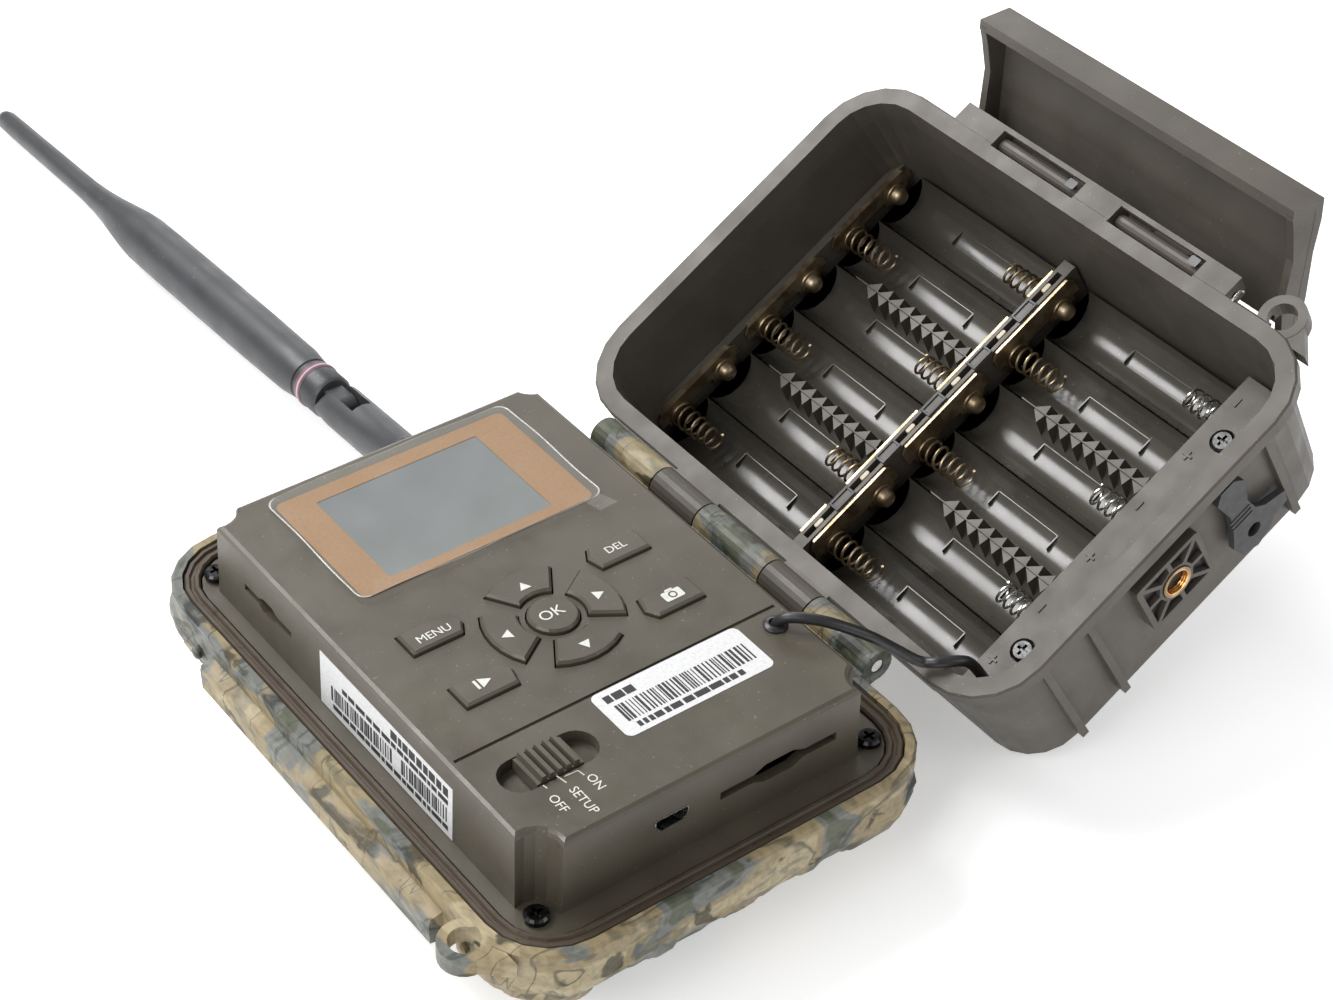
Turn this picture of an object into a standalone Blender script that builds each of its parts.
"""A clamshell trail camera, lying on its front face with the battery half swung open.

Blender units are metres. The sizes below are millimetres, and MM turns them into metres.
The origin is the centre of the front face that the camera lies on. +Y runs towards the
antenna, +X towards the hinge, +Z up. The battery half is drawn in its own frame, whose
origin is on the hinge axis: X away from the hinge, Z out of the cavity, rim at Z = 0.
"""

from math import cos, pi, radians, sin, sqrt

import bmesh
import bpy
from mathutils import Vector

MM = 0.001

# Clamshell
HALF_X = 52.0
HALF_Y = 71.9
CORNER = 17.0
RIM_Z = 30.0
HINGE_X = HALF_X + 4.2
OPEN_TILT = 31.7
BATTERY_CENTRE = HINGE_X
BATTERY_DEPTH = 42.8

# Front windows: centre, hole radius and pocket radius
LENS = (0.0, -13.0, 7.6, 9.9)
MOTION = (0.0, -37.0, 10.4, 12.7)
INFRARED = (-27.0, 27.0, 16.0, 44.0)
LEDGE_Z = 1.2

# Electronics cover
COVER = (-42.0, 39.7, -60.0, 58.2)
COVER_TOP = 47.0
COVER_SKIN = 2.0
FLANGE_TOP = 28.6
FLANGE_THICK = 2.0
NOTCH = 5.2
SCREWS = ((-40.5, -58.6), (41.2, -58.6), (41.2, 60.0), (-40.5, 60.0))

# Keys
KEY_TOP = 48.1
KEY_BOTTOM = 42.9
KEY_FIT = 0.35
PAD = (-1.1, -8.2)
PAD_RING = (7.2, 14.8)
PAD_KEY = 5.4

# Mode switch
SWITCH = (-25.5, -41.0)
SWITCH_SLOT = (22.0, 9.2)
SWITCH_FLOOR = 44.2
SLIDER_HALF = (5.4, 4.1)

# Screen
SCREEN = (-21.4, 18.9, 20.5, 49.3)
SCREEN_LABEL = (-29.3, 28.2, 17.8, 53.4)

# Cells
CELL_PITCH = 15.0
CELL_RADIUS = 7.4
CELL_AXIS = -29.2
CELL_COUNT = 6
LAST_CELL = 93.6
CONTACT_TOP = -24.5
DIVIDER_TOP = -22.2
BAR_TOP = -18.4
CONTACT_PLATE = 0.6
FLOOR = -35.3
FLOOR_CORNER = 6.8
RACK_TOP = -28.8
RACK_GAPS = (1, 3)
END_RIBS = (22.0, 35.1, 88.6)
BOSS_X = 56.2
BOSS_Z = -17.9
UPPER_BAY = (9.8, 62.8)
LOWER_BAY = (-48.4, 4.6)

# Hinge
PIN_RADIUS = 1.5
KNUCKLE_RADIUS = 3.9
FRONT_KNUCKLES = ((-43.8, -23.4), (-8.4, 14.2), (30.2, 52.2))
BATTERY_KNUCKLES = ((-23.0, -8.8), (14.6, 29.8))

# Latch, in the battery half's frame
LINK_AXIS = (110.0, -3.6)
LINK_LENGTH = 12.0
LINK_ANGLE = 70.0
FLAP_SPAN = (-49.7, 46.0)
FLAP_LENGTH = 34.2
FLAP_HOOK = 9.0
FLAP_TILT = 30.0
LINK_WINDOWS = ((-32.8, -7.0), (4.0, 30.5))

# Antenna
ANTENNA_X = 21.8
ANTENNA_Z = 17.6
ANTENNA_DROOP = 3.5
ANTENNA_RADIUS = 5.6
ELBOW = 38.0
MAST_LENGTH = 182.0


# ---------- shapes: each returns (points, faces) in millimetres ----------

def outline(x0, x1, y0, y1, radius, steps=6):
    """A rectangle with round corners, counter-clockwise."""
    centres = (
        (x1 - radius, y0 + radius, -90),
        (x1 - radius, y1 - radius, 0),
        (x0 + radius, y1 - radius, 90),
        (x0 + radius, y0 + radius, 180),
    )
    points = []
    for cx, cy, start in centres:
        for step in range(steps + 1):
            angle = radians(start + 90 * step / steps)
            points.append((cx + radius * cos(angle), cy + radius * sin(angle)))
    return points


def shell_outline(inset, centre=0.0, radius=None):
    """The clamshell's plan, drawn in by inset. Its corners are concentric unless a radius is given."""
    return outline(
        centre - HALF_X + inset, centre + HALF_X - inset, -HALF_Y + inset, HALF_Y - inset,
        radius or max(CORNER - inset, 2.0), 5,
    )


def circle(cx, cy, radius, count=20):
    angles = [2 * pi * k / count for k in range(count)]
    return [(cx + radius * cos(a), cy + radius * sin(a)) for a in angles]


def cross(cx, cy, reach=1.4, half=0.35):
    """The outline of a cross-head screw's recess."""
    corner = ((reach, -half), (reach, half), (half, half), (half, reach))
    points = []
    for k in range(4):
        turn = radians(90 * k)
        points += [(cx + x * cos(turn) - y * sin(turn), cy + x * sin(turn) + y * cos(turn)) for x, y in corner[1:]]
    return points


def loft(rings, closed=False):
    """Rings of 3-D points with equal counts, joined in order. An open loft gets end caps."""
    count = len(rings[0])
    points = [p for ring in rings for p in ring]
    faces = []
    pairs = len(rings) if closed else len(rings) - 1
    for k in range(pairs):
        low = k * count
        high = (k + 1) % len(rings) * count
        for i in range(count):
            j = (i + 1) % count
            faces.append((low + i, low + j, high + j, high + i))
    if not closed:
        faces.append(tuple(range(count)))
        faces.append(tuple(range(len(points) - count, len(points))))
    return points, faces


def level(flat, z):
    return [(x, y, z) for x, y in flat]


def extrude(flat, low, high, axis="z"):
    """An outline pushed along an axis: 'z' takes (x, y), 'y' takes (x, z), 'x' takes (y, z)."""
    place = {
        "z": lambda p, q, t: (p, q, t),
        "y": lambda p, q, t: (p, t, q),
        "x": lambda p, q, t: (t, p, q),
    }[axis]
    return loft([[place(p, q, t) for p, q in flat] for t in (low, high)])


def box(x0, x1, y0, y1, z0, z1):
    return extrude([(x0, y0), (x1, y0), (x1, y1), (x0, y1)], z0, z1)


def cylinder(cx, cy, radius, low, high, axis="z", count=20):
    return extrude(circle(cx, cy, radius, count), low, high, axis)


def turned(profile, axis="z", centre=(0.0, 0.0), count=20, closed=False):
    """(radius, distance) pairs turned round an axis; closed for a ring."""
    rings = []
    for radius, along in profile:
        ring = []
        for p, q in circle(centre[0], centre[1], radius, count):
            ring.append({"z": (p, q, along), "y": (p, along, q), "x": (along, p, q)}[axis])
        rings.append(ring)
    return loft(rings, closed)


# ---------- objects ----------

def material(name, colour, roughness=0.5, metallic=0.0, alpha=1.0):
    made = bpy.data.materials.new(name)
    made.use_nodes = True
    shader = made.node_tree.nodes["Principled BSDF"]
    shader.inputs["Base Color"].default_value = (*colour, 1.0)
    shader.inputs["Roughness"].default_value = roughness
    shader.inputs["Metallic"].default_value = metallic
    shader.inputs["Alpha"].default_value = alpha
    return made


def make(name, shapes, finish=None, parent=None, smooth=40):
    """One object from one or more shapes, with its faces turned outwards."""
    mesh = bpy.data.meshes.new(name)
    work = bmesh.new()
    for points, faces in shapes:
        corners = [work.verts.new(Vector(p) * MM) for p in points]
        for face in faces:
            work.faces.new([corners[k] for k in face])
    bmesh.ops.recalc_face_normals(work, faces=work.faces)
    work.to_mesh(mesh)
    work.free()
    if finish:
        mesh.materials.append(finish)
    mesh.shade_smooth()
    mesh.set_sharp_from_angle(angle=radians(smooth))
    made = bpy.data.objects.new(name, mesh)
    bpy.context.scene.collection.objects.link(made)
    made.parent = parent
    return made


def combine(target, shapes, operation, own_overlaps=False):
    """A Boolean of target with helper solids, which stay hidden."""
    helper = make(f"{target.name}_{operation.lower()}_{len(target.modifiers)}", shapes)
    helper.parent = target.parent
    helper.hide_render = True
    helper.display_type = "WIRE"
    boolean = target.modifiers.new(operation.title(), "BOOLEAN")
    boolean.operation = operation
    boolean.object = helper
    boolean.solver = "EXACT"
    boolean.use_self = own_overlaps


def cut(target, shapes):
    combine(target, shapes, "DIFFERENCE")


def add(target, shapes):
    combine(target, shapes, "UNION", own_overlaps=True)


def empty(name, location, rotation=(0.0, 0.0, 0.0)):
    made = bpy.data.objects.new(name, None)
    bpy.context.scene.collection.objects.link(made)
    made.location = Vector(location) * MM
    made.rotation_euler = rotation
    return made


# ---------- front half ----------

def front_shell(finish):
    """The front housing: a deep dish with a seal groove, a ledge and three windows."""
    profile = (
        (20.0, 0.0),
        (17.5, 1.2),
        (14.5, 3.4),
        (11.0, 7.0),
        (6.0, 12.3),
        (1.5, 17.2),
        (0.2, 20.5),
        (0.0, RIM_Z - 0.8),
        (0.6, RIM_Z - 0.2),
        (2.4, RIM_Z - 0.2),
        (2.4, 26.2),
        (11.0, 26.2),
        (11.0, 13.8),
        (14.5, 9.4),
        (18.0, 5.8),
        (20.5, 2.8),
    )
    shell = make("front_shell", [loft([level(shell_outline(i), z) for i, z in profile])], finish)
    knuckles = []
    for low, high in FRONT_KNUCKLES:
        knuckles.append(cylinder(HINGE_X, RIM_Z, KNUCKLE_RADIUS, low, high, "y", 20))
        leaf = ((HALF_X - 1.4, RIM_Z - 6.0), (HINGE_X + 0.5, RIM_Z - 3.6),
                (HINGE_X + 0.5, RIM_Z + 1.0), (HALF_X - 1.4, RIM_Z - 0.5))
        knuckles.append(extrude(leaf, low, high, "y"))
    add(shell, knuckles)
    rib = ((-HALF_X + 1.0, RIM_Z - 5.2), (-HALF_X - 2.6, RIM_Z - 6.2),
           (-HALF_X - 3.0, RIM_Z - 7.4), (-HALF_X - 2.8, RIM_Z - 12.6),
           (-HALF_X + 1.0, RIM_Z - 13.2))
    ear = circle(-HALF_X - 2.6, -55.6, 5.4, 24)
    strap = [(-HALF_X - 7.6, -57.0), (-HALF_X + 2.0, -66.0), (-HALF_X + 2.0, -50.5)]
    add(shell, [
        extrude(rib, -44.0, 42.5, "y"),
        extrude(ear, RIM_Z - 5.0, RIM_Z - 0.9),
        extrude(strap, RIM_Z - 4.9, RIM_Z - 1.0),
    ])
    add(shell, [cylinder(ANTENNA_X, ANTENNA_Z, 7.6, HALF_Y - 9.0, HALF_Y + 1.2, "y", 24)])
    cut(shell, [cylinder(-HALF_X - 2.6, -55.6, 3.3, RIM_Z - 9, RIM_Z + 2, "z", 20)])
    cut(shell, [cylinder(HINGE_X, RIM_Z, PIN_RADIUS + 0.1, -60.0, 60.0, "y", 16)])
    cut(shell, [cylinder(x, y, 1.6, 17.5, 30.0, "z", 12) for x, y in SCREWS])
    holes = [extrude(outline(*INFRARED, 4.0, 4), -2.0, 6.0)]
    pockets = [extrude(grown(outline(*INFRARED, 4.0, 4), 2.4), LEDGE_Z, 4.0)]
    for x, y, hole, pocket in (LENS, MOTION):
        holes.append(cylinder(x, y, hole, -2.0, 6.0, "z", 24))
        pockets.append(cylinder(x, y, pocket, LEDGE_Z, 4.0, "z", 24))
    cut(shell, holes)
    cut(shell, pockets)
    cut(shell, [cylinder(ANTENNA_X, ANTENNA_Z, 3.6, HALF_Y - 14.0, HALF_Y + 4.0, "y", 20)])
    return shell


def windows(glass, lens_plastic):
    """What the camera looks through, seated from inside on the ledges of the front wall."""
    pane = grown(outline(*INFRARED, 4.0, 4), 2.1)
    make("infrared_window", [extrude(pane, LEDGE_Z + 0.2, 3.4)], glass)
    x, y, _, pocket = LENS
    make("lens_window", [cylinder(x, y, pocket - 0.3, LEDGE_Z + 0.2, 3.2, "z", 24)], glass)
    x, y, hole, pocket = MOTION
    hollow = ((0.4, 1.3), (3.0, 1.4), (7.4, 1.9), (9.6, 3.0))
    dome = ((pocket - 0.3, 3.0), (pocket - 0.3, LEDGE_Z + 0.2), (hole - 0.3, LEDGE_Z + 0.2),
            (hole - 0.9, 1.1), (7.4, 0.8), (3.0, 0.5), (0.4, 0.45))
    make("motion_lens", [turned(hollow + dome, "z", (x, y), 24)], lens_plastic)


def rim_seal(finish):
    """The rubber seal in the rim's groove: a flat strip with two raised lips."""
    profile = (
        (2.7, 26.6), (2.7, 29.0), (3.1, 29.5), (3.8, 29.5), (4.2, 28.9), (4.7, 28.9),
        (5.1, 29.5), (5.8, 29.5), (6.2, 29.0), (6.2, 26.6),
    )
    make("rim_seal", [loft([level(shell_outline(i), z) for i, z in profile], closed=True)], finish)


def cover_outline(inset, grow=0.0):
    """The electronics cover's plan: a rectangle with a round bite round each corner screw."""
    x0, x1, y0, y1 = COVER
    x0, x1, y0, y1 = x0 + inset, x1 - inset, y0 + inset, y1 - inset
    radius = NOTCH + inset + grow
    points = []
    corners = ((x0, y0), (x1, y0), (x1, y1), (x0, y1))
    for (cx, cy), (sx, sy) in zip(corners, SCREWS):
        along_y = abs(radius ** 2 - (cx - sx) ** 2) ** 0.5
        along_x = abs(radius ** 2 - (cy - sy) ** 2) ** 0.5
        inward_x = 1 if cx < 0 else -1
        inward_y = 1 if cy < 0 else -1
        on_side = Vector((cx - sx, inward_y * along_y))
        on_end = Vector((inward_x * along_x, cy - sy))
        first, last = (on_side, on_end) if inward_x == inward_y else (on_end, on_side)
        turn = first.angle_signed(last)
        for step in range(6):
            angle = -turn * step / 5
            points.append((
                sx + first.x * cos(angle) - first.y * sin(angle),
                sy + first.x * sin(angle) + first.y * cos(angle),
            ))
    return points


def key_outlines():
    """Each key's name and outline. The pad is round, with a ring of four arrow keys."""
    px, py = PAD
    keys = [("key_ok", circle(px, py, PAD_KEY, 24))]
    inner, outer = PAD_RING
    for name, middle in (("key_right", 0), ("key_up", 90), ("key_left", 180), ("key_down", 270)):
        half = 33.0
        turns = [radians(middle - half + 2 * half * k / 6) for k in range(7)]
        arc = [(px + outer * cos(a), py + outer * sin(a)) for a in turns]
        back = [(px + inner * cos(a), py + inner * sin(a)) for a in reversed(turns)]
        keys.append((name, arc + back))
    wide, narrow, tall, point = 6.6, 5.0, 3.3, 4.9
    soft = ((-wide, tall), (-wide, -tall), (narrow, -tall), (wide, -0.6), (narrow + 0.6, tall))
    for name, cx, cy, flip_x, flip_y in (
        ("key_menu", -23.8, 1.0, 1, 1),
        ("key_delete", 21.2, 1.0, -1, -1),
        ("key_camera", 21.2, -17.5, -1, 1),
        ("key_play", -23.5, -17.3, 1, -1),
    ):
        corner = [(cx + flip_x * x, cy + flip_y * y) for x, y in soft]
        keys.append((name, corner))
    return keys


def grown(flat, amount):
    """An outline moved outwards from its own centre line by the mean of its edge normals."""
    area = sum(a[0] * b[1] - b[0] * a[1] for a, b in zip(flat, flat[1:] + flat[:1]))
    side = 1 if area > 0 else -1
    moved = []
    for before, here, after in zip(flat[-1:] + flat[:-1], flat, flat[1:] + flat[:1]):
        first = (Vector(here) - Vector(before)).normalized()
        second = (Vector(after) - Vector(here)).normalized()
        normal = Vector((first.y + second.y, -first.x - second.x)).normalized()
        stretch = max(normal.dot(Vector((first.y, -first.x))), 0.5)
        point = Vector(here) + normal * side * amount / stretch
        moved.append((point.x, point.y))
    return moved


def module_cover(finish):
    """The electronics cover: a tub with a flange, turned mouth down over the circuit board."""
    flange_low = FLANGE_TOP - FLANGE_THICK
    rows = ((-0.4, flange_low + 0.5), (0.0, COVER_TOP - 1.2), (0.35, COVER_TOP - 0.4), (1.1, COVER_TOP))
    cover = make("module_cover", [loft([level(cover_outline(i), z) for i, z in rows])], finish)
    flange = shell_outline(6.6)
    add(cover, [extrude(flange, flange_low, FLANGE_TOP)])
    hollow = cover_outline(COVER_SKIN)
    cut(cover, [extrude(hollow, flange_low - 2.0, COVER_TOP - COVER_SKIN)])
    x, y = SWITCH
    long, short = SWITCH_SLOT
    add(cover, [extrude(outline(x - 13, x + 13, y - 6.4, y + 6.4, 6.0, 4), 42.6, COVER_TOP - 1.0)])
    holes = [cylinder(sx, sy, 1.7, flange_low - 1, FLANGE_TOP + 1, "z", 12) for sx, sy in SCREWS]
    holes.append(extrude(
        outline(x - long / 2, x + long / 2, y - short / 2, y + short / 2, 4.5, 5), SWITCH_FLOOR, 50.0
    ))
    holes.append(cylinder(34.0, -35.8, 2.4, 40.0, 50.0, "z", 16))
    holes += [extrude(grown(flat, KEY_FIT), 40.0, 50.0) for _, flat in key_outlines()]
    left, right, bottom, top = SCREEN
    holes.append(box(left, right, bottom, top, 40.0, 50.0))
    cut(cover, holes)
    left, right, bottom, top = SCREEN_LABEL
    ports = [extrude(outline(left, right, bottom, top, 3.0, 3), COVER_TOP - 0.5, 50.0)]
    ports.append(extrude([
        (-13.2, 36.9), (-7.6, 36.9), (-6.3, 38.3), (-6.3, 40.2), (-14.5, 40.2), (-14.5, 38.3),
    ], -62.0, -56.0, "y"))
    ports.append(extrude([
        (1.5, 36.6), (9.6, 36.6), (12.6, 35.3), (19.4, 35.3), (22.4, 36.6), (30.5, 36.6),
        (30.5, 38.6), (22.4, 38.6), (19.4, 39.9), (12.6, 39.9), (9.6, 38.6), (1.5, 38.6),
    ], -62.0, -56.0, "y"))
    ports.append(extrude([
        (25.7, 37.2), (31.4, 37.2), (33.2, 36.2), (36.7, 36.2), (38.5, 37.2), (44.2, 37.2),
        (44.2, 38.8), (38.5, 38.8), (36.7, 39.8), (33.2, 39.8), (31.4, 38.8), (25.7, 38.8),
    ], -44.0, -39.0, "x"))
    ports.append(box(-40.2, 37.6, -31.4, -30.6, COVER_TOP - 0.5, 50.0))
    cut(cover, ports)
    return cover


def keys(finish):
    for name, flat in key_outlines():
        make(name, [loft([
            level(flat, KEY_BOTTOM),
            level(flat, KEY_TOP - 0.5),
            level(grown(flat, -0.5), KEY_TOP),
        ])], finish)


def mode_switch(finish):
    """The slider, with a row of grip ridges. Its outline is an (x, z) section."""
    x, y = SWITCH
    long, short = SLIDER_HALF
    low, valley, peak = SWITCH_FLOOR + 0.3, 47.2, 48.5
    section = [(x - long, low), (x + long, low), (x + long, valley)]
    for k in range(5):
        middle = x + 3.8 - 1.9 * k
        section += [(middle + 0.8, valley), (middle + 0.45, peak), (middle - 0.45, peak), (middle - 0.8, valley)]
    section.append((x - long, valley))
    make("mode_switch", [extrude(section, y - short, y + short, "y")], finish)


def cover_screws(finish):
    for number, (x, y) in enumerate(SCREWS, 1):
        top = FLANGE_TOP + 0.3
        profile = ((0.6, 18.5), (1.3, 19.5), (1.3, top), (2.6, top), (2.6, top + 1.0), (2.1, top + 1.5))
        screw = make(f"cover_screw_{number}", [turned(profile, "z", (x, y), 16)], finish)
        cut(screw, [extrude(cross(x, y), top + 0.6, top + 3.0)])


def electronics(finishes):
    """The boards, screen and camera optics between the cover and the front wall."""
    left, right, bottom, top = SCREEN
    make("display_panel", [box(left - 4, right + 4, bottom - 3, top + 3, 41.6, 44.6)], finishes["display"])
    left, right, bottom, top = SCREEN_LABEL
    make("display_window", [extrude(
        outline(left + 0.3, right - 0.3, bottom + 0.3, top - 0.3, 2.8, 4), COVER_TOP - 0.2, COVER_TOP + 0.4
    )], finishes["label"])
    film = outline(left - 1.2, right + 1.4, bottom - 1.4, top + 1.2, 4.0, 4)
    sheet = make("display_film", [extrude(film, COVER_TOP + 0.8, COVER_TOP + 1.0)], finishes["film"])
    add(sheet, [extrude([
        (right - 2.0, bottom + 3.4), (right - 3.6, bottom - 0.6), (right + 0.6, bottom - 5.4),
        (right + 3.4, bottom - 5.0), (right + 3.8, bottom - 2.4), (right + 1.0, bottom + 1.4),
    ], COVER_TOP + 0.82, COVER_TOP + 0.98)])
    board = make("main_board", [box(-34.0, 32.0, -50.0, 48.0, 34.2, 35.8)], finishes["board"])
    add(board, [
        box(-26.0, -14.0, -46.0, -34.0, 35.5, 38.8),
        box(3.0, 29.0, -49.0, -28.0, 35.5, 38.2),
        box(-12.0, 10.0, 20.0, 40.0, 35.5, 38.0),
        box(-8.0, 8.0, -21.0, -5.0, 32.0, 34.5),
    ])
    sensors = make("sensor_board", [box(-29.0, 29.0, -44.0, 46.0, 18.0, 19.6)], finishes["board"])
    leds = []
    for row in range(3):
        for column in range(7):
            leds.append(cylinder(-24.0 + 8.0 * column, 22.0 + 8.0 * row, 1.6, 13.4, 18.5, "z", 8))
    add(sensors, leds)
    cut(sensors, [cylinder(*LENS[:2], 7.4, 16.0, 21.0, "z", 20)])
    barrel = ((4.0, 31.8), (7.0, 31.8), (7.0, 8.0), (6.0, 5.0), (4.6, 4.0), (3.4, 7.0), (1.0, 8.0))
    make("camera_lens", [turned(barrel, "z", LENS[:2], 20)], finishes["black"])
    can = ((4.6, 17.7), (4.6, 13.2), (4.1, 12.8), (2.4, 12.8))
    make("motion_sensor", [turned(can, "z", MOTION[:2], 16)], finishes["steel"])


# ---------- antenna ----------

def antenna(parent, finish, pin_finish):
    """A screw-on swivel base, and a mast that folds up at a fork and tongue elbow."""
    base_profile = (
        (3.0, -5.0), (3.0, 2.0), (6.4, 2.0), (6.4, 12.0), (ANTENNA_RADIUS, 13.5), (ANTENNA_RADIUS, ELBOW - 8.0),
    )
    base = make("antenna_base", [turned(base_profile, "y", count=24)], finish, parent)
    cheek = []
    for side in (-1, 1):
        low, high = sorted((side * 2.6, side * ANTENNA_RADIUS))
        cheek.append(box(low, high, ELBOW - 10.0, ELBOW, -3.6, 3.6))
        cheek.append(cylinder(ELBOW, 0.0, 3.6, low, high, "x", 20))
    add(base, cheek)
    cut(base, [cylinder(ELBOW, 0.0, 1.3, -8.0, 8.0, "x", 14)])
    radius = ANTENNA_RADIUS
    mast_profile = (
        (radius - 0.6, ELBOW + 5.0), (radius, ELBOW + 6.0), (radius, ELBOW + 15.0),
        (radius + 0.7, ELBOW + 21.0), (radius + 1.0, ELBOW + 60.0), (radius + 0.9, ELBOW + 98.0),
        (radius - 0.2, ELBOW + 108.0), (3.6, ELBOW + 122.0), (3.1, ELBOW + 130.0),
        (2.8, ELBOW + MAST_LENGTH - 3.0), (2.3, ELBOW + MAST_LENGTH - 1.0), (1.2, ELBOW + MAST_LENGTH),
    )
    mast = make("antenna_mast", [turned(mast_profile, "y", count=20)], finish, parent)
    add(mast, [
        cylinder(ELBOW, 0.0, 3.5, -2.3, 2.3, "x", 20),
        box(-2.3, 2.3, ELBOW, ELBOW + 6.5, -3.4, 3.4),
    ])
    cut(mast, [cylinder(ELBOW, 0.0, 1.3, -8.0, 8.0, "x", 14)])
    make("antenna_pin", [cylinder(ELBOW, 0.0, 1.2, -5.2, 5.2, "x", 14)], pin_finish, parent)


# ---------- battery half ----------

def cell_x(number):
    return LAST_CELL - CELL_PITCH * number


def boss_pockets(half_x=8.0, half_z=7.3, ring=4.9, spoke=0.55):
    """Eight pockets between the insert's ring, the square frame and the eight spokes of the tripod boss."""
    pockets = []
    for long, short, turned_round in ((half_x, half_z, False), (half_z, half_x, True)):
        diagonal = sqrt(long * long + short * short)
        reach = sqrt(ring * ring - spoke * spoke)
        out = (long * diagonal - spoke * short) / long
        corners = (
            (reach, spoke), (long, spoke),
            (long, (out * short - spoke * long) / diagonal),
            ((reach * long + spoke * short) / diagonal, (reach * short - spoke * long) / diagonal),
        )
        for u_sign in (-1, 1):
            for v_sign in (-1, 1):
                flat = [(u * u_sign, v * v_sign) for u, v in corners]
                if turned_round:
                    flat = [(v, u) for u, v in flat]
                pockets.append([(BOSS_X + x, BOSS_Z + z) for x, z in flat])
    return pockets


def battery_case(parent, finish):
    """The battery housing: a tub with a rim flange, cell cradles, ribs and a tripod boss."""
    outside = (
        (10.5, -BATTERY_DEPTH), (6.4, -BATTERY_DEPTH + 1.0), (4.2, -BATTERY_DEPTH + 4.0), (2.8, -6.0),
        (2.6, -4.4), (0.0, -3.8), (0.0, -0.6), (0.5, -0.2),
    )
    inside = ((4.6, -0.2, 12.4), (5.2, -6.0, 11.0), (6.4, FLOOR, FLOOR_CORNER))
    rings = [level(shell_outline(inset, BATTERY_CENTRE), z) for inset, z in outside]
    rings += [level(shell_outline(inset, BATTERY_CENTRE, radius), z) for inset, z, radius in inside]
    case = make("battery_case", [loft(rings)], finish, parent)
    racks = []
    for low, high in (UPPER_BAY, LOWER_BAY):
        for number in range(CELL_COUNT - 1):
            if number in RACK_GAPS:
                middle = cell_x(number) - CELL_PITCH / 2
                racks.append(box(middle - 0.5, middle + 0.5, low + 1.0, high - 9.0, FLOOR - 1.0, RACK_TOP))
    racks.append(box(11.6, 101.0, UPPER_BAY[1] + 0.9, 67.0, FLOOR - 1.0, CONTACT_TOP))
    add(case, racks)
    cut(case, [
        cylinder(cell_x(number), CELL_AXIS, CELL_RADIUS, low + 1.0, high - 1.0, "y", 40)
        for low, high in (UPPER_BAY, LOWER_BAY) for number in range(CELL_COUNT)
    ])
    ribs = []
    for x in END_RIBS:
        ribs.append(box(x - 0.9, x + 0.9, -70.3, -67.0, -37.0, -4.6))
    ribs.append(extrude(outline(46.8, 65.4, BOSS_Z - 8.6, BOSS_Z + 8.6, 1.0, 2), -71.0, -68.0, "y"))
    add(case, ribs)
    flange = extrude([(BATTERY_CENTRE + HALF_X - 3.0, -1.3), (113.2, -1.3), (113.2, -0.3),
                      (BATTERY_CENTRE + HALF_X - 3.0, -0.3)], -42.0, 43.5, "y")
    ear = circle(BATTERY_CENTRE + HALF_X + 2.6, -55.6, 5.4, 24)
    strap = [(BATTERY_CENTRE + HALF_X + 7.6, -57.0), (BATTERY_CENTRE + HALF_X - 2.0, -50.5),
             (BATTERY_CENTRE + HALF_X - 2.0, -66.0)]
    lugs = [flange, extrude(ear, -4.6, -0.5), extrude(strap, -4.5, -0.6)]
    solid = ((-41.9, LINK_WINDOWS[0][0]), (LINK_WINDOWS[0][1], LINK_WINDOWS[1][0]), (LINK_WINDOWS[1][1], 43.4))
    for low, high in solid:
        lugs.append(extrude([(BATTERY_CENTRE + HALF_X - 4.0, -6.4), (112.2, -6.0), (113.1, -4.6),
                             (113.1, -0.6), (BATTERY_CENTRE + HALF_X - 4.0, -0.6)], low, high, "y"))
    add(case, lugs)
    knuckles = []
    for low, high in BATTERY_KNUCKLES:
        knuckles.append(cylinder(0.0, 0.0, KNUCKLE_RADIUS, low, high, "y", 20))
        knuckles.append(extrude([(-0.5, -3.6), (5.6, -4.4), (5.6, -0.4), (-0.5, 1.0)], low, high, "y"))
    add(case, knuckles)
    lx, lz = LINK_AXIS
    cut(case, [cylinder(BATTERY_CENTRE + HALF_X + 2.6, -55.6, 3.3, -9.0, 2.0, "z", 20)])
    cut(case, [cylinder(0.0, 0.0, PIN_RADIUS + 0.1, -60.0, 60.0, "y", 16)])
    cut(case, [cylinder(lx, lz, 1.1, -60.0, 60.0, "y", 12)])
    cut(case, [box(107.2, 112.0, low, high, -8.0, 2.0) for low, high in LINK_WINDOWS])
    pockets = [cylinder(BOSS_X, BOSS_Z, 4.1, -73.0, -69.4, "y", 20)]
    for flat in boss_pockets():
        pockets.append(extrude(flat, -73.0, -69.6, "y"))
    cut(case, pockets)
    cut(case, [cylinder(77.0, -26.0, 3.4, -73.0, -60.0, "y", 16), cylinder(75.6, -9.0, 1.6, -73.0, -67.6, "y", 12)])
    return case


def cell_divider(parent, finish):
    """The wall between the two bays, which carries contacts on both faces."""
    low, high = LOWER_BAY[1] + 0.9, UPPER_BAY[0] - 0.9
    wall = make("cell_divider", [box(11.4, 101.4, low, high, FLOOR + 0.3, DIVIDER_TOP)], finish, parent)
    slots = []
    for number in range(CELL_COUNT):
        slots.append(box(cell_x(number) - 4.5, cell_x(number) + 4.5, low + 0.9, high - 0.9, -26.0, -20.0))
    cut(wall, slots)


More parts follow.
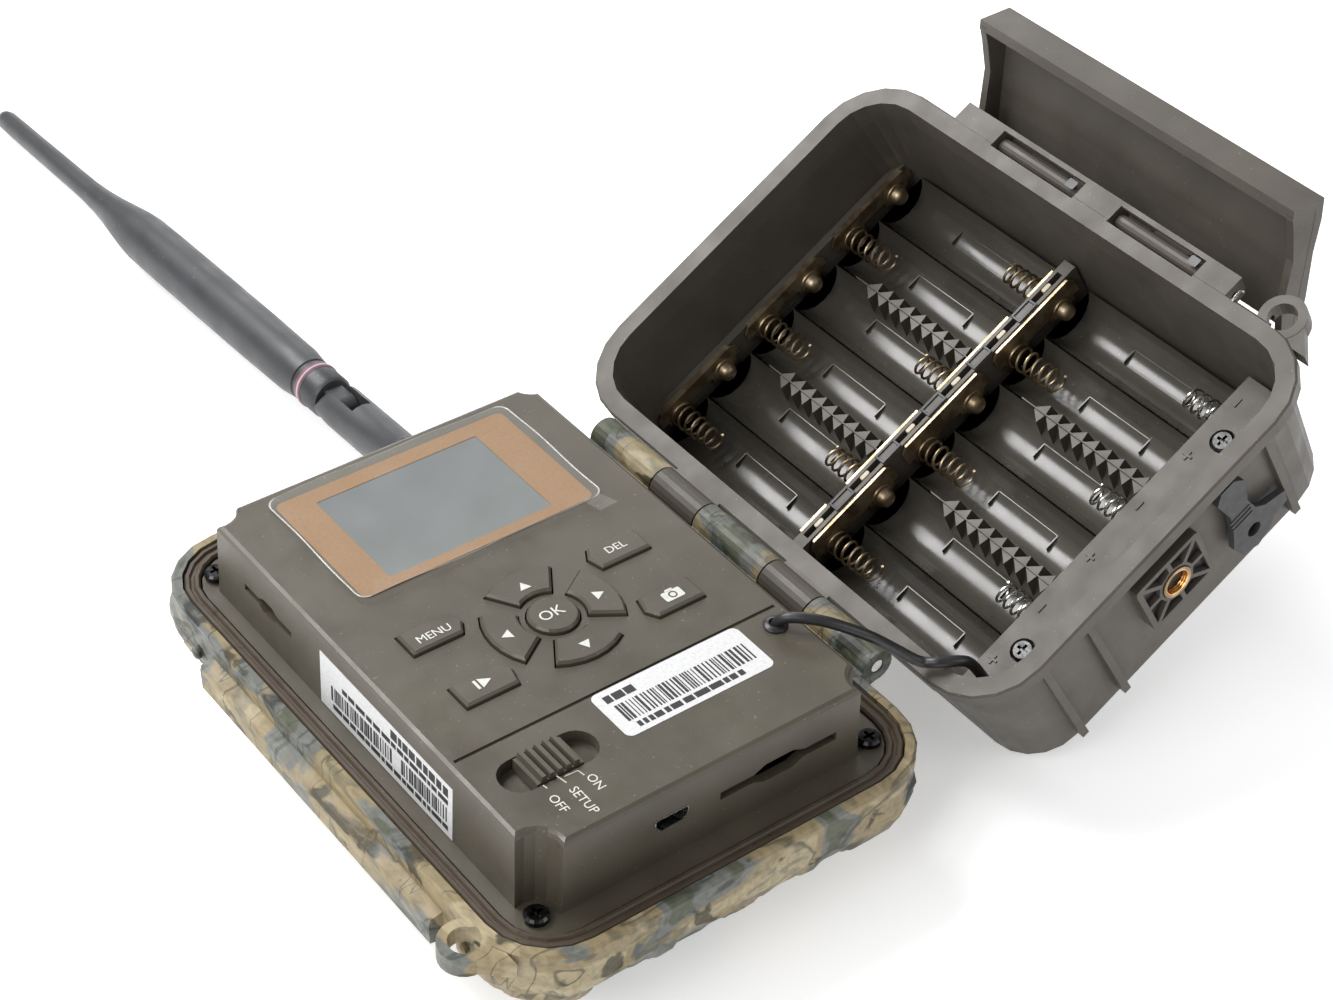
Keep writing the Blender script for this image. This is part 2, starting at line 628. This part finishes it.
def contact(name, parent, finish, face, facing, cells):
    """One contact plate: a flat strip with a button for one cell or a spring for the next."""
    first = cell_x(cells[0][0])
    last = cell_x(cells[-1][0])
    back = face - facing * CONTACT_PLATE
    low, high = sorted((face, back))
    plate = make(name, [box(last - 5.6, first + 5.6, low, high, FLOOR + 0.3, CONTACT_TOP - 0.6)], finish, parent)
    middle = face - facing * CONTACT_PLATE / 2
    for number, kind in cells:
        x = cell_x(number)
        if kind == "button":
            rows = ((3.2, middle), (3.2, face + facing * 0.8), (2.0, face + facing * 1.9), (0.7, face + facing * 2.2))
            shape = turned(rows, "y", (x, CELL_AXIS), 12)
        else:
            shape = spring(x, middle, facing, face)
        add(plate, [shape])


def spring(x, start, facing, face, length=13.5, turns=6, wire=0.4, per_turn=8):
    """A coil of round wire standing on the contact plate, narrower towards its free end."""
    rings = []
    count = turns * per_turn
    for k in range(count + 1):
        share = k / count
        angle = 2 * pi * turns * share
        radius = 2.9 - 0.5 * share
        along = start + (face + facing * length - start) * max(share - 0.06, 0.0) / 0.94
        out = Vector((cos(angle), 0.0, sin(angle)))
        middle = Vector((x, along, CELL_AXIS)) + out * radius
        side = Vector((0.0, 1.0, 0.0))
        rings.append([
            tuple(middle + out * wire * cos(a) + side * wire * sin(a))
            for a in (pi / 4, 3 * pi / 4, 5 * pi / 4, 7 * pi / 4)
        ])
    return loft(rings)


def contacts(parent, brass, steel):
    """Every plate joins two neighbouring cells in series; the end cells have plates of their own."""
    kinds = {True: "button", False: "spring"}
    pairs = ((0, 1), (2, 3), (4, 5))
    staggered = ((0,), (1, 2), (3, 4), (5,))
    rows = (
        ("upper_end_contact", UPPER_BAY[1], -1, pairs, 0, brass),
        ("upper_divider_contact", UPPER_BAY[0], 1, staggered, 1, brass),
        ("lower_divider_contact", LOWER_BAY[1], -1, pairs, 0, brass),
        ("lower_end_contact", LOWER_BAY[0], 1, staggered, 1, steel),
    )
    for name, face, facing, groups, odd, finish in rows:
        for number, group in enumerate(groups, 1):
            cells = [(k, kinds[k % 2 == odd]) for k in group]
            contact(f"{name}_{number}", parent, finish, face, facing, cells)


def contact_bar(parent, finish, screw_finish):
    """The strip that covers the wiring at the bottom end, held by two screws."""
    face = LOWER_BAY[0] - CONTACT_PLATE - 0.3
    plan = [p for p in shell_outline(6.5, BATTERY_CENTRE, 10.4) if p[1] < face]
    plan.sort(key=lambda p: p[0])
    plan += [(plan[-1][0], face), (plan[0][0], face)]
    bar = make("contact_bar", [extrude(plan, BAR_TOP - 1.8, BAR_TOP)], finish, parent)
    add(bar, [box(12.0, 100.4, face - 1.8, face, FLOOR + 0.4, BAR_TOP - 0.8)])
    spots = ((24.6, -55.6), (86.6, -55.6))
    cut(bar, [turned(
        ((1.6, BAR_TOP - 3.0), (1.6, BAR_TOP - 1.0), (2.9, BAR_TOP - 1.0), (2.9, BAR_TOP + 1.0)), "z", spot, 16
    ) for spot in spots])
    for number, (x, y) in enumerate(spots, 1):
        top = BAR_TOP - 0.9
        rows = ((0.6, -29.0), (1.3, -28.0), (1.3, top), (2.6, top), (2.6, top + 0.9), (2.1, top + 1.3))
        screw = make(f"bar_screw_{number}", [turned(rows, "z", (x, y), 16)], screw_finish, parent)
        cut(screw, [extrude(cross(x, y), top + 0.5, top + 3.0)])


def power_inlet(parent, rubber, black):
    """The socket for an outside supply, and the rubber plug that closes it."""
    make("power_jack", [turned(
        ((5.0, -64.8), (5.0, -59.0), (1.0, -59.0), (1.0, -60.6), (2.6, -60.6), (2.6, -64.8)),
        "y", (77.0, -26.0), 16, closed=True)], black, parent)
    plug = make("power_plug", [extrude([
        (71.6, -8.0), (73.6, -5.4), (77.4, -5.4), (79.6, -8.0), (79.2, -11.6), (78.4, -15.0),
        (79.4, -19.6), (81.6, -22.0), (87.2, -24.0), (86.8, -27.6), (82.6, -28.2), (80.6, -30.6),
        (76.4, -32.2), (72.2, -30.4), (70.8, -26.0), (72.6, -20.0), (73.2, -15.0), (72.4, -11.6),
    ], -71.4, -69.8, "y")], rubber, parent)
    add(plug, [cylinder(77.0, -26.0, 3.0, -70.5, -65.4, "y", 16), cylinder(75.6, -9.0, 1.2, -70.5, -68.0, "y", 10)])
    cut(plug, [cylinder(77.0, -26.0, 1.9, -74.0, -69.0, "y", 14)])


def tripod_insert(parent, finish):
    rows = ((3.9, -71.3), (3.9, -69.7), (3.2, -69.7), (3.2, -71.3))
    make("tripod_insert", [turned(rows, "y", (BOSS_X, BOSS_Z), 20, closed=True)], finish, parent)


def latch(parent, finish, steel):
    """A draw latch: a link swings out of the rim, and the hooked flap turns on the link's end."""
    lx, lz = LINK_AXIS
    direction = Vector((cos(radians(LINK_ANGLE)), -sin(radians(LINK_ANGLE))))
    normal = Vector((-direction.y, direction.x))
    end = Vector((lx, lz)) + direction * LINK_LENGTH

    def across(along, off):
        point = Vector((lx, lz)) + direction * along + normal * off
        return (point.x, point.y)

    low, high = LINK_WINDOWS[0][0] + 0.4, LINK_WINDOWS[1][1] - 0.4
    link = make("latch_link", [extrude(
        [across(4.4, -0.9), across(LINK_LENGTH, -0.9), across(LINK_LENGTH, 0.9), across(4.4, 0.9)],
        low, high, "y")], finish, parent)
    barrels = []
    for first, last in LINK_WINDOWS:
        barrels.append(cylinder(lx, lz, 1.8, first + 0.4, last - 0.4, "y", 14))
        barrels.append(extrude(
            [across(0.0, -0.8), across(5.5, -0.8), across(5.5, 0.8), across(0.0, 0.8)],
            first + 0.4, last - 0.4, "y"))
    tips = ((low, low + 12.0), (low + 24.0, high - 24.0), (high - 12.0, high))
    for first, last in tips:
        barrels.append(cylinder(end.x, end.y, 1.9, first, last, "y", 14))
    add(link, barrels)
    cut(link, [cylinder(lx, lz, 1.0, -60.0, 60.0, "y", 12)])
    gaps = ((low + 12.0, low + 24.0), (high - 24.0, high - 12.0))
    cut(link, [extrude([across(LINK_LENGTH - 2.6, -3.0), across(LINK_LENGTH + 3.0, -3.0),
                        across(LINK_LENGTH + 3.0, 3.0), across(LINK_LENGTH - 2.6, 3.0)], a, b, "y") for a, b in gaps])
    cut(link, [cylinder(end.x, end.y, 1.0, -60.0, 60.0, "y", 12)])
    web = Vector((sin(radians(FLAP_TILT)), cos(radians(FLAP_TILT))))
    out = Vector((cos(radians(FLAP_TILT)), -sin(radians(FLAP_TILT))))

    def on_flap(along, off):
        point = end + web * along + out * off
        return (point.x, point.y)

    y0, y1 = FLAP_SPAN
    section = [
        on_flap(-2.5, 2.2), on_flap(-2.5, 4.1), on_flap(6.0, 4.6), on_flap(18.0, 4.0), on_flap(26.0, 4.6),
        on_flap(FLAP_LENGTH - 2.5, 4.1), on_flap(FLAP_LENGTH - 2.5, 4.1 - FLAP_HOOK),
        on_flap(FLAP_LENGTH - 5.0, 4.1 - FLAP_HOOK), on_flap(FLAP_LENGTH - 5.0, 2.2),
    ]
    flap = make("latch_flap", [extrude(section, y0, y1, "y")], finish, parent)
    wall = [
        on_flap(-2.4, 3.0), on_flap(-2.4, -1.0), on_flap(6.0, -2.6), on_flap(18.0, -2.0),
        on_flap(26.0, -3.8), on_flap(FLAP_LENGTH - 4.0, -5.0), on_flap(FLAP_LENGTH - 4.0, 3.0),
    ]
    ends = [extrude(wall, y0 + 0.05, y0 + 2.0, "y"), extrude(wall, y1 - 2.0, y1 - 0.05, "y")]
    for first, last in gaps:
        ends.append(cylinder(end.x, end.y, 1.9, first + 0.4, last - 0.4, "y", 14))
        ends.append(extrude([on_flap(-1.5, 0.0), on_flap(1.5, 0.0), on_flap(1.5, 3.0), on_flap(-1.5, 3.0)],
                            first + 0.4, last - 0.4, "y"))
    add(flap, ends)
    cut(flap, [cylinder(end.x, end.y, 1.0, low - 2.0, high + 2.0, "y", 12)])
    make("link_pin", [cylinder(lx, lz, 0.9, -41.0, 43.0, "y", 12)], steel, parent)
    make("flap_pin", [cylinder(end.x, end.y, 0.9, low, high, "y", 12)], steel, parent)


# ---------- lead ----------

def lid_wire(battery, finish):
    """The supply lead: out of the electronics cover, over the hinge and into the battery half."""
    tilt = radians(OPEN_TILT)

    def swung(x, y, z):
        return (HINGE_X + x * cos(tilt) - z * sin(tilt), y, RIM_Z + x * sin(tilt) + z * cos(tilt))

    route = [
        (34.0, -35.8, 43.0), (34.0, -35.9, 47.2), (35.4, -38.0, 50.0), (40.6, -43.0, 50.0),
        (48.6, -47.4, 45.4), (55.0, -49.4, 39.8), swung(6.2, -52.0, 2.8), swung(9.0, -55.2, 1.8),
        swung(13.0, -57.2, -2.0), swung(13.8, -57.4, -9.6), swung(13.6, -57.2, -17.8),
    ]
    points = []
    padded = [route[0]] + route + [route[-1]]
    for a, b, c, d in zip(padded, padded[1:], padded[2:], padded[3:]):
        for step in range(4):
            t = step / 4
            points.append([
                0.5 * (2 * q + (r - p) * t + (2 * p - 5 * q + 4 * r - s) * t * t + (3 * q - p - 3 * r + s) * t ** 3)
                for p, q, r, s in zip(a, b, c, d)
            ])
    points.append(list(route[-1]))
    curve = bpy.data.curves.new("lid_wire", "CURVE")
    curve.dimensions = "3D"
    line = curve.splines.new("POLY")
    line.points.add(len(points) - 1)
    for spot, point in zip(line.points, points):
        spot.co = (*[v * MM for v in point], 1.0)
    curve.bevel_depth = 1.2 * MM
    curve.bevel_resolution = 2
    curve.use_fill_caps = True
    curve.materials.append(finish)
    made = bpy.data.objects.new("lid_wire", curve)
    bpy.context.scene.collection.objects.link(made)


def build():
    for old in list(bpy.data.objects):
        bpy.data.objects.remove(old, do_unlink=True)
    camouflage = material("camouflage", (0.36, 0.33, 0.24), 0.6)
    brown = material("brown_plastic", (0.14, 0.12, 0.10), 0.5)
    dark = material("dark_plastic", (0.05, 0.05, 0.05), 0.4)
    rubber = material("rubber", (0.02, 0.02, 0.02), 0.8)
    seal = material("seal", (0.16, 0.11, 0.08), 0.7)
    steel = material("steel", (0.6, 0.6, 0.6), 0.3, 1.0)
    brass = material("brass", (0.7, 0.45, 0.2), 0.3, 1.0)
    glass = material("dark_glass", (0.02, 0.02, 0.03), 0.1)
    finishes = {
        "display": material("display", (0.3, 0.34, 0.36), 0.2),
        "label": material("screen_label", (0.5, 0.3, 0.14), 0.4),
        "film": material("film", (0.8, 0.8, 0.78), 0.1, 0.0, 0.4),
        "board": material("circuit_board", (0.03, 0.2, 0.08), 0.5),
        "black": dark,
        "steel": steel,
    }
    front_shell(camouflage)
    windows(glass, material("milky_plastic", (0.7, 0.7, 0.68), 0.4))
    rim_seal(seal)
    module_cover(brown)
    keys(brown)
    mode_switch(brown)
    cover_screws(dark)
    electronics(finishes)
    antenna_frame = empty("antenna_frame", (ANTENNA_X, HALF_Y, ANTENNA_Z), (-radians(ANTENNA_DROOP), 0.0, 0.0))
    antenna(antenna_frame, dark, steel)
    battery = empty("battery_frame", (HINGE_X, 0.0, RIM_Z), (0.0, -radians(OPEN_TILT), 0.0))
    make("hinge_pin", [cylinder(HINGE_X, RIM_Z, PIN_RADIUS, -43.6, 52.0, "y", 16)], steel)
    battery_case(battery, brown)
    cell_divider(battery, brown)
    contacts(battery, brass, steel)
    contact_bar(battery, brown, dark)
    power_inlet(battery, rubber, dark)
    tripod_insert(battery, brass)
    latch(battery, brown, steel)
    lid_wire(battery, rubber)


build()
